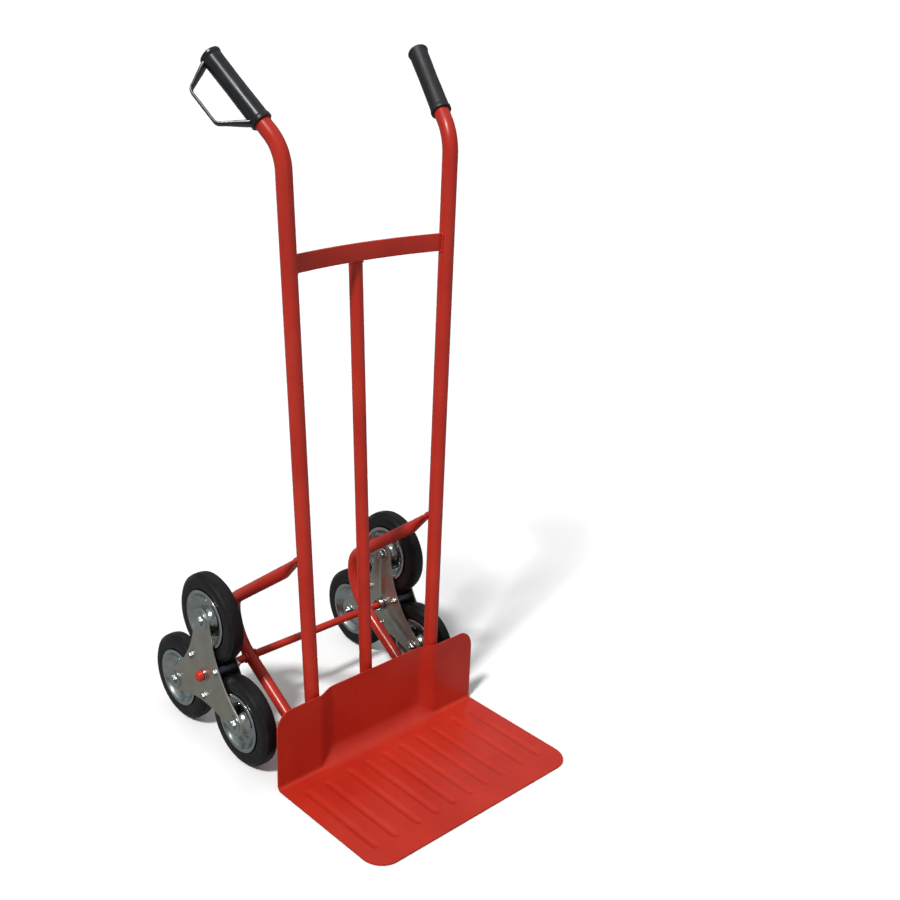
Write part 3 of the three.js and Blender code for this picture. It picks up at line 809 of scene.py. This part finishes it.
# radius and height of the outer and the inner washer on each kind of bolt
TIE_CUPS = ((6.5 * MM, 1.2 * MM), (6.5 * MM, 1.2 * MM))
TIE_SHANK_R = 2.9 * MM
TIE_HEAD_R = 5.8 * MM
WHEEL_CUPS = ((17 * MM, 3.4 * MM), (13 * MM, 3.0 * MM))
WHEEL_SHANK_R = 4.9 * MM
WHEEL_HEAD_R = 8.5 * MM
# angle between two arms
THIRD = 2 * math.pi / 3
PLATE_BORE_R = 7.5 * MM
SLEEVE_BORE_R = 7.4 * MM
SLEEVE_R = 13 * MM
THREAD_LENGTH = 3 * MM
WASHER_GAP = 0.1 * MM


def star_radius(angle, inset):
    """Distance from the hub to a three-armed outline moved in by inset."""
    off = abs((angle + THIRD / 2) % THIRD - THIRD / 2)
    tip, side = TIP_R - inset, VALLEY_R + inset
    arm_end = Vector((0.0, ARM))
    centre = Vector((VALLEY_CENTRE * math.sin(THIRD / 2), VALLEY_CENTRE * math.cos(THIRD / 2)))
    touch = arm_end + (centre - arm_end).normalized() * tip
    if off <= math.atan2(touch.x, touch.y):
        return ARM * math.cos(off) + math.sqrt(max(tip ** 2 - (ARM * math.sin(off)) ** 2, 0))
    lean = THIRD / 2 - off
    return (VALLEY_CENTRE * math.cos(lean)
            - math.sqrt(side ** 2 - (VALLEY_CENTRE * math.sin(lean)) ** 2))


def star_angles():
    """Angles round the hub, closer together at the arm tips."""
    steps = 140
    angles = []
    for arm in range(3):
        for i in range(steps):
            share = 2 * i / steps - 1
            angles.append(arm * THIRD + THIRD / 2 * (0.35 * share + 0.65 * share ** 3))
    return angles


def ridge_height(y, z):
    """Share of full height of the ridge along each arm and of the pad round each wheel bolt."""
    off = (math.atan2(y, z) + THIRD / 2) % THIRD - THIRD / 2
    reach = math.hypot(y, z)
    across, along = abs(reach * math.sin(off)), reach * math.cos(off)
    ridge = ease((RIDGE_HALF - across) / RIDGE_HALF) * ease((along - 14 * MM) / (10 * MM))
    pad = ease((PAD_R - math.hypot(across, along - ARM)) / (2.5 * MM))
    return max(ridge, pad)


def star_plate(inner_x, outer_x, raised):
    """A three-armed plate with softened edges, and a raised ridge on its outer_x side."""
    outward = 1 if outer_x > inner_x else -1
    face = outer_x - outward * raised
    layers = [(0.4 * MM, inner_x), (0.0, inner_x + outward * 0.3 * MM),
              (0.0, face - outward * 0.5 * MM), (0.2 * MM, face - outward * 0.15 * MM),
              (0.6 * MM, face), (2.5 * MM, face)]
    angles = star_angles()

    def row(inset, x):
        return [Vector((x, star_radius(a, inset) * math.sin(a),
                        star_radius(a, inset) * math.cos(a))) for a in angles]

    def hole(x):
        return [Vector((x, PLATE_BORE_R * math.sin(a), PLATE_BORE_R * math.cos(a)))
                for a in angles]

    rows = [hole(inner_x)] + [row(inset, x) for inset, x in layers]
    border, middle = rows[-1], hole(face)
    steps = 28 if raised else 2
    for i in range(1, steps + 1):
        line = [a.lerp(b, i / steps) for a, b in zip(border, middle)]
        for point in line:
            point.x = face + outward * raised * ridge_height(point.y, point.z)
        rows.append(line)
    return skin(rows, along=True)


def hexagon(start, end, corner_r):
    """A six-sided head with the outer face's corners turned off."""
    outward = 1 if end > start else -1
    flat = corner_r * math.cos(math.pi / 6)
    angles = [2 * math.pi * j / 60 for j in range(60)]

    def edge(a):
        return flat / math.cos((a + math.pi / 6) % (math.pi / 3) - math.pi / 6)

    def row(x_of, radius_of):
        return [Vector((x_of(a), radius_of(a) * math.cos(a), radius_of(a) * math.sin(a)))
                for a in angles]

    def shoulder(a):
        return end - outward * (0.35 * (edge(a) - flat) + 0.5 * MM)

    rows = [row(lambda a: start, edge), row(shoulder, edge),
            row(lambda a: end - outward * 0.15 * MM, lambda a: flat * 0.985),
            row(lambda a: end, lambda a: flat * 0.93),
            row(lambda a: end, lambda a: flat * 0.6),
            row(lambda a: end - outward * 0.25 * MM, lambda a: flat * 0.55)]
    return together(skin(rows), lid(rows[0], Vector((start, 0, 0))),
                    lid(rows[-1], Vector((end - outward * 0.25 * MM, 0, 0))))


def threaded_end(start, end, radius):
    """The stub of thread that shows past a nut."""
    profile = [(start, 0)]
    count = max(2, round(abs(end - start) / (0.55 * MM)))
    for i in range(count + 1):
        deep = radius - (0.35 * MM if i % 2 else 0)
        profile.append((start + (end - start) * i / count, deep))
    profile += [(end, radius - 0.9 * MM), (end, 0)]
    return lathe(profile, 32)


def cup(face, out, bore, radius, height):
    """A domed washer standing on a plate's face."""
    heights = [(radius, 0.0), (radius, 0.25), (radius * 0.93, 0.55), (radius * 0.8, 0.82),
               (radius * 0.6, 0.97), (bore + 0.4 * MM, 1.0), (bore, 0.9), (bore, 0.0)]
    return lathe([(face + out * height * h, r) for r, h in heights], 64)


def bolt(node, centre, shank_r, head_r, cups):
    """Bolt through both plates, with its nut and washers."""
    low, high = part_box(node)
    out = 1 if centre.x > 0 else -1
    outer, inner = (high.x, low.x) if out > 0 else (low.x, high.x)
    side = "right" if out > 0 else "left"
    low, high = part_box("outer_plate_" + side)
    face_out = (high.x if out > 0 else low.x) + out * WASHER_GAP
    low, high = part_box("inner_plate_" + side)
    face_in = (low.x if out > 0 else high.x) - out * WASHER_GAP
    nut_face, under_head = inner + out * THREAD_LENGTH, outer - out * 2 * MM
    shank = lathe([(nut_face, 0), (nut_face, shank_r), (under_head, shank_r),
                   (under_head, 0)], 32)
    (outer_r, outer_h), (inner_r, inner_h) = cups
    sunk = out * RIDGE_RISE
    washers = [cup(face_out, out, shank_r, outer_r, outer_h),
               cup(face_in + sunk, -out, shank_r, inner_r, inner_h + RIDGE_RISE)]
    head = hexagon(face_out + out * outer_h * 0.9, outer, head_r)
    nut = hexagon(face_in - out * inner_h * 0.9, nut_face, head_r)
    stub = threaded_end(inner + out * 3.2 * MM, inner, shank_r)
    shape = together(shank, head, nut, stub, *washers)
    return moved(shape, Matrix.Translation(Vector((0, centre.y, centre.z))))


def node_centre(node):
    """The middle of a CAD node's box."""
    low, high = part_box(node)
    return (low + high) / 2


def build_spacer(node):
    """Sleeve on a tie bolt, with a low collar near each end."""
    low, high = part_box(node)
    rings = [hollow(low.x, high.x, 3.2 * MM, 6.6 * MM, 48, 0.6 * MM)]
    rings += [hollow(x - 1.6 * MM, x + 1.6 * MM, 6.2 * MM, 7 * MM, 48, 0.4 * MM)
              for x in (low.x + 2 * MM, high.x - 2 * MM)]
    middle = node_centre(node)
    place = Matrix.Translation(Vector((0, middle.y, middle.z)))
    piece(node, moved(together(*rings), place), SPACER_BLACK)


def build_cluster(name, side):
    """Two star plates, the hub sleeve between them, the spacers and all the bolts."""
    hub = PIVOT["cluster_%s_spin" % name]
    to_hub = Matrix.Translation(Vector((0, hub.y, hub.z)))
    for which, raised in (("outer", 0.0), ("inner", RIDGE_RISE)):
        low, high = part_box("%s_plate_%s" % (which, name))
        near, far = (low.x, high.x) if side > 0 else (high.x, low.x)
        back, face = (near, far) if which == "outer" else (far, near)
        plate = star_plate(back, face, raised)
        piece("%s_plate_%s" % (which, name), moved(plate, to_hub), PLATE_ZINC, 30)

    low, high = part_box("hub_sleeve_" + name)
    sleeve = hollow(low.x, high.x, SLEEVE_BORE_R, SLEEVE_R)
    piece("hub_sleeve_" + name, moved(sleeve, to_hub), SPACER_BLACK)
    for i in (1, 2, 3):
        tie = "tie_bolt_%s_%d" % (name, i)
        piece(tie, bolt(tie, node_centre(tie), TIE_SHANK_R, TIE_HEAD_R, TIE_CUPS), BRIGHT_ZINC)
        wheel = "wheel_bolt_%s_%d" % (name, i)
        centre = PIVOT["wheel_%s_%d_spin" % (name, i)]
        shape = bolt(wheel, centre, WHEEL_SHANK_R, WHEEL_HEAD_R, WHEEL_CUPS)
        piece(wheel, shape, BRIGHT_ZINC)
        build_spacer("spacer_%s_%d" % (name, i))


# ------------------------------------------------------------------ wheels

TREAD_GROOVE_X = 8.6 * MM
RIM_HUB_STANDS_OUT = 1 * MM
RIVETS = 6
RIVET_CIRCLE_R = 30 * MM
BUSH_BORE_R = 5.4 * MM
BUSH_R = 10.8 * MM


def tyre_outline(half, outer):
    """Solid tyre: side wall with a moulded line, and two grooves round a smooth tread."""
    side = [(-11 * MM, 49.4 * MM), (-half + 0.8 * MM, 54.5 * MM), (-half, 57 * MM),
            (-half, 61.2 * MM), (-half + 0.5 * MM, 61.8 * MM), (-half + 0.5 * MM, 62.6 * MM),
            (-half, 63.2 * MM), (-half, 70.5 * MM), (-half + 0.5 * MM, 72.4 * MM),
            (-half + 1.6 * MM, 74.0 * MM), (-half + 3.0 * MM, 75.2 * MM)]

    def crown(x):
        return outer - 3.2 * MM * (abs(x) / half) ** 2.2

    tread = []
    for middle in (-TREAD_GROOVE_X, TREAD_GROOVE_X):
        groove = [(middle + a * MM, crown(middle + a * MM) - b * MM)
                  for a, b in ((-1.1, 0), (-0.6, 1.3), (0.6, 1.3), (1.1, 0))]
        tread += groove
        if middle < 0:
            tread += [(x * MM, crown(x * MM)) for x in (-5.5, -3, 0, 3, 5.5)]
    other = [(-x, r) for x, r in reversed(side)]
    return side + tread + other


def rim_shape(half, hub_half):
    """Two pressed dishes riveted back to back, a flat outer ring and a domed hub on each face."""
    face = [(-hub_half, 11.4 * MM), (-hub_half, 13.2 * MM), (-hub_half + 1.2 * MM, 14.6 * MM),
            (-12 * MM, 16.2 * MM), (-8.5 * MM, 18.5 * MM), (-5 * MM, 23 * MM),
            (-3.8 * MM, 29 * MM), (-4.6 * MM, 34 * MM), (-7.6 * MM, 39 * MM),
            (-half + 4.2 * MM, 44.4 * MM), (-half + 0.8 * MM, 47.2 * MM), (-half, 48.6 * MM),
            (-half, 51.2 * MM), (-half + 0.4 * MM, 52.6 * MM), (-half + 1.8 * MM, 53 * MM),
            (-half + 3.0 * MM, 51.4 * MM), (-half + 5.0 * MM, 49.2 * MM)]
    outline = face + [(-x, r) for x, r in reversed(face)]
    fine = []
    for a, b in zip(outline, outline[1:] + outline[:1]):
        fine.append(a)
        fine.append(((a[0] + b[0]) / 2, (a[1] + b[1]) / 2))
    body = lathe(fine, 96, 0.5 * MM)
    rivets = []
    for i in range(RIVETS):
        angle = 2 * math.pi * i / RIVETS + 0.4
        for out in (-1, 1):
            dome = lathe([(0, 0), (0, 2.6 * MM), (out * 1.2 * MM, 2.3 * MM),
                          (out * 2.1 * MM, 1.3 * MM), (out * 2.4 * MM, 0)], 24)
            spot = Vector((out * 3.4 * MM, RIVET_CIRCLE_R * math.sin(angle),
                           RIVET_CIRCLE_R * math.cos(angle)))
            rivets.append(moved(dome, Matrix.Translation(spot)))
    return together(body, *rivets)


def build_wheel(name, number):
    """Tyre, rim and bush of one wheel."""
    centre = PIVOT["wheel_%s_%d_spin" % (name, number)]
    place = Matrix.Translation(centre)
    tag = "%s_%d" % (name, number)
    low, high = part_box("tyre_" + tag)
    outline = tyre_outline((high.x - low.x) / 2, (high.z - low.z) / 2)
    piece("tyre_" + tag, moved(lathe(outline, 120), place), RUBBER, 24)
    low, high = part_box("rim_" + tag)
    rim_half = (high.x - low.x) / 2 - RIM_HUB_STANDS_OUT
    low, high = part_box("bush_" + tag)
    half = (high.x - low.x) / 2
    piece("rim_" + tag, moved(rim_shape(rim_half, half), place), BRIGHT_ZINC, 50)
    piece("bush_" + tag, moved(hollow(-half, half, BUSH_BORE_R, BUSH_R), place), NYLON)


# ------------------------------------------------------------------ axle and its fittings

AXLE_BORE_R = 7.2 * MM


def build_axle():
    """The bar with its washers, collars and end caps."""
    low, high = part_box("axle")
    radius = (high.z - low.z) / 2
    centre = PIVOT["cluster_right_spin"]
    to_axle = Matrix.Translation(Vector((0, centre.y, centre.z)))
    bar = lathe([(low.x, 0), (low.x, radius), (high.x, radius), (high.x, 0)], 48, 1.4 * MM)
    piece("axle", moved(bar, to_axle), PAINT)
    for name, side in SIDES:
        low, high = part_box("axle_washer_" + name)
        washer = hollow(low.x, high.x, AXLE_BORE_R, (high.z - low.z) / 2 - 0.2 * MM, 64, 0.6 * MM)
        piece("axle_washer_" + name, moved(washer, to_axle), BRIGHT_ZINC)
        low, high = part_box("axle_collar_" + name)
        mouth, seat = (low.x, high.x) if side > 0 else (high.x, low.x)
        step = seat - side * 3 * MM
        collar = lathe([(mouth, 10.8 * MM), (mouth, 11.9 * MM), (seat, 11.9 * MM),
                        (seat, AXLE_BORE_R), (step, AXLE_BORE_R), (step, 9.5 * MM),
                        (mouth, 9.5 * MM)], 64, 0.5 * MM)
        piece("axle_collar_" + name, moved(collar, to_axle), BRIGHT_ZINC)
        piece("axle_cap_" + name, moved(cap_shape(name, side), to_axle), PAINT)


def cap_shape(name, side):
    """Domed cap with a short straight skirt, pushed onto the axle's end."""
    low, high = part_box("axle_cap_" + name)
    mouth, top = (low.x, high.x) if side > 0 else (high.x, low.x)
    radius = (high.z - low.z) / 2
    dome = 5.5 * MM
    profile = [(mouth + side * 4 * MM, 0), (mouth + side * 4 * MM, AXLE_BORE_R), (mouth, AXLE_BORE_R),
               (mouth, radius - 0.4 * MM), (mouth + side * 0.4 * MM, radius)]
    for i in range(13):
        turn = math.pi / 2 * i / 12
        profile.append((top - side * dome * (1 - math.sin(turn)), radius * math.cos(turn)))
    return lathe(profile, 64)


# ------------------------------------------------------------------ stage

FLOOR_HALF = 400.0
FLOOR_Z = -0.6 * MM
FLOOR_GREY = 0.36
FLOOR_GREY_IN_GLOSS = 0.22
BACKDROP_WHITE = 2.3
SKY_STRENGTH = 0.46
GLOSS_CONTRAST = 1.2
KEY_FROM = (-2.1, -0.7, 3.0)
KEY_STRENGTH = 2.7
KEY_DEGREES = 7
FILL_FROM = (-0.6, -3.2, 1.5)
FILL_AIM = (0.0, 0.1, 0.5)
FILL_SIZE = 1.8
FILL_WATTS = 3


def grey(value):
    return colour(value, value, value)


def build_floor():
    """A floor near white to the camera and darker to other rays, which keeps its bounce low."""
    look = Look("floor_look")
    tone = look.mix(look.level(look.noise(1.5, 3), 0.3, 0.7),
                    grey(0.96), colour(0.98, 0.98, 0.975))
    ray = look.node("ShaderNodeLightPath", {})
    unseen = look.mix(ray.outputs["Is Glossy Ray"], grey(FLOOR_GREY), grey(FLOOR_GREY_IN_GLOSS))
    look.set(Base_Color=look.mix(ray.outputs["Is Camera Ray"], unseen, tone), Roughness=0.9,
             Specular_IOR_Level=0.1)
    mesh = bpy.data.meshes.new("floor")
    corners = [(x * FLOOR_HALF, y * FLOOR_HALF, FLOOR_Z)
               for x, y in ((-1, -1), (1, -1), (1, 1), (-1, 1))]
    mesh.from_pydata(corners, [], [(0, 1, 2, 3)])
    mesh.materials.append(look.material)
    floor = bpy.data.objects.new("floor", mesh)
    bpy.context.scene.collection.objects.link(floor)


def build_world():
    """Soft sky, darkest a little above the horizon, with more contrast in reflections.

    The camera itself sees plain white.
    """
    world = bpy.data.worlds.new("studio")
    bpy.context.scene.world = world
    world.use_nodes = True
    nodes, links = world.node_tree.nodes, world.node_tree.links
    ray = nodes.new("ShaderNodeLightPath")

    ramp = nodes.new("ShaderNodeValToRGB")
    split = nodes.new("ShaderNodeSeparateXYZ")
    links.new(nodes.new("ShaderNodeTexCoord").outputs["Generated"], split.inputs[0])
    links.new(split.outputs["Z"], ramp.inputs[0])
    stops = ramp.color_ramp.elements
    stops[0].position, stops[0].color = 0.0, colour(0.85, 0.86, 0.88)
    stops[1].position, stops[1].color = 0.7, grey(1.0)
    stops.new(0.22).color = colour(0.50, 0.52, 0.55)

    contrast = nodes.new("ShaderNodeMath")
    contrast.operation = "MULTIPLY_ADD"
    contrast.inputs[1].default_value = GLOSS_CONTRAST
    contrast.inputs[2].default_value = 1.0
    links.new(ray.outputs["Is Glossy Ray"], contrast.inputs[0])
    mirrored = nodes.new("ShaderNodeGamma")
    links.new(ramp.outputs["Color"], mirrored.inputs["Color"])
    links.new(contrast.outputs[0], mirrored.inputs["Gamma"])

    seen = nodes.new("ShaderNodeMix")
    seen.data_type = "RGBA"
    seen.inputs[7].default_value = grey(BACKDROP_WHITE)
    links.new(ray.outputs["Is Camera Ray"], seen.inputs[0])
    links.new(mirrored.outputs[0], seen.inputs[6])
    links.new(seen.outputs[2], nodes["Background"].inputs["Color"])
    nodes["Background"].inputs["Strength"].default_value = SKY_STRENGTH


def add_lamp(light, direction):
    """A lamp that shines along a direction."""
    lamp = bpy.data.objects.new(light.name, light)
    bpy.context.scene.collection.objects.link(lamp)
    lamp.rotation_mode = "QUATERNION"
    lamp.rotation_quaternion = direction.to_track_quat("-Z", "Y")
    return lamp


def build_lights():
    """One broad sun, high on the left, and a weak panel in front."""
    key = bpy.data.lights.new("key", "SUN")
    key.energy = KEY_STRENGTH
    key.angle = math.radians(KEY_DEGREES)
    add_lamp(key, -Vector(KEY_FROM))

    fill = bpy.data.lights.new("fill", "AREA")
    fill.energy = FILL_WATTS
    fill.size = FILL_SIZE
    add_lamp(fill, Vector(FILL_AIM) - Vector(FILL_FROM)).location = FILL_FROM


CAMERA_AT = (-1.1662, -1.2495, 1.2050)
AZIMUTH = math.radians(40.46)
PITCH = math.radians(22.82)
ROLL = math.radians(1.07)
SENSOR_WIDTH_MM = 36
LENS_MM = 45.99
SHIFT = (0.1207, 0.042)


def build_camera():
    """Eye level above the grips, in front and to the left, looking down at the deck."""
    ahead = Vector((math.sin(AZIMUTH) * math.cos(PITCH), math.cos(AZIMUTH) * math.cos(PITCH),
                    -math.sin(PITCH)))
    data = bpy.data.cameras.new("camera")
    data.sensor_width = SENSOR_WIDTH_MM
    data.lens = LENS_MM
    data.shift_x, data.shift_y = SHIFT
    data.clip_start = 0.05
    camera = bpy.data.objects.new("camera", data)
    camera.location = CAMERA_AT
    camera.rotation_mode = "QUATERNION"
    camera.rotation_quaternion = (ahead.to_track_quat("-Z", "Y")
                                  @ Quaternion((0, 0, 1), ROLL))
    bpy.context.scene.collection.objects.link(camera)
    bpy.context.scene.camera = camera
    bpy.context.scene.view_settings.view_transform = "Standard"


# ------------------------------------------------------------------ build

build_uprights()
build_crossbar()
build_centre_tube()
build_loops()
build_grips()
build_toe_plate()
build_axle()
for cluster_name, cluster_side in SIDES:
    build_cluster(cluster_name, cluster_side)
    for wheel_number in (1, 2, 3):
        build_wheel(cluster_name, wheel_number)
build_floor()
build_world()
build_lights()
build_camera()
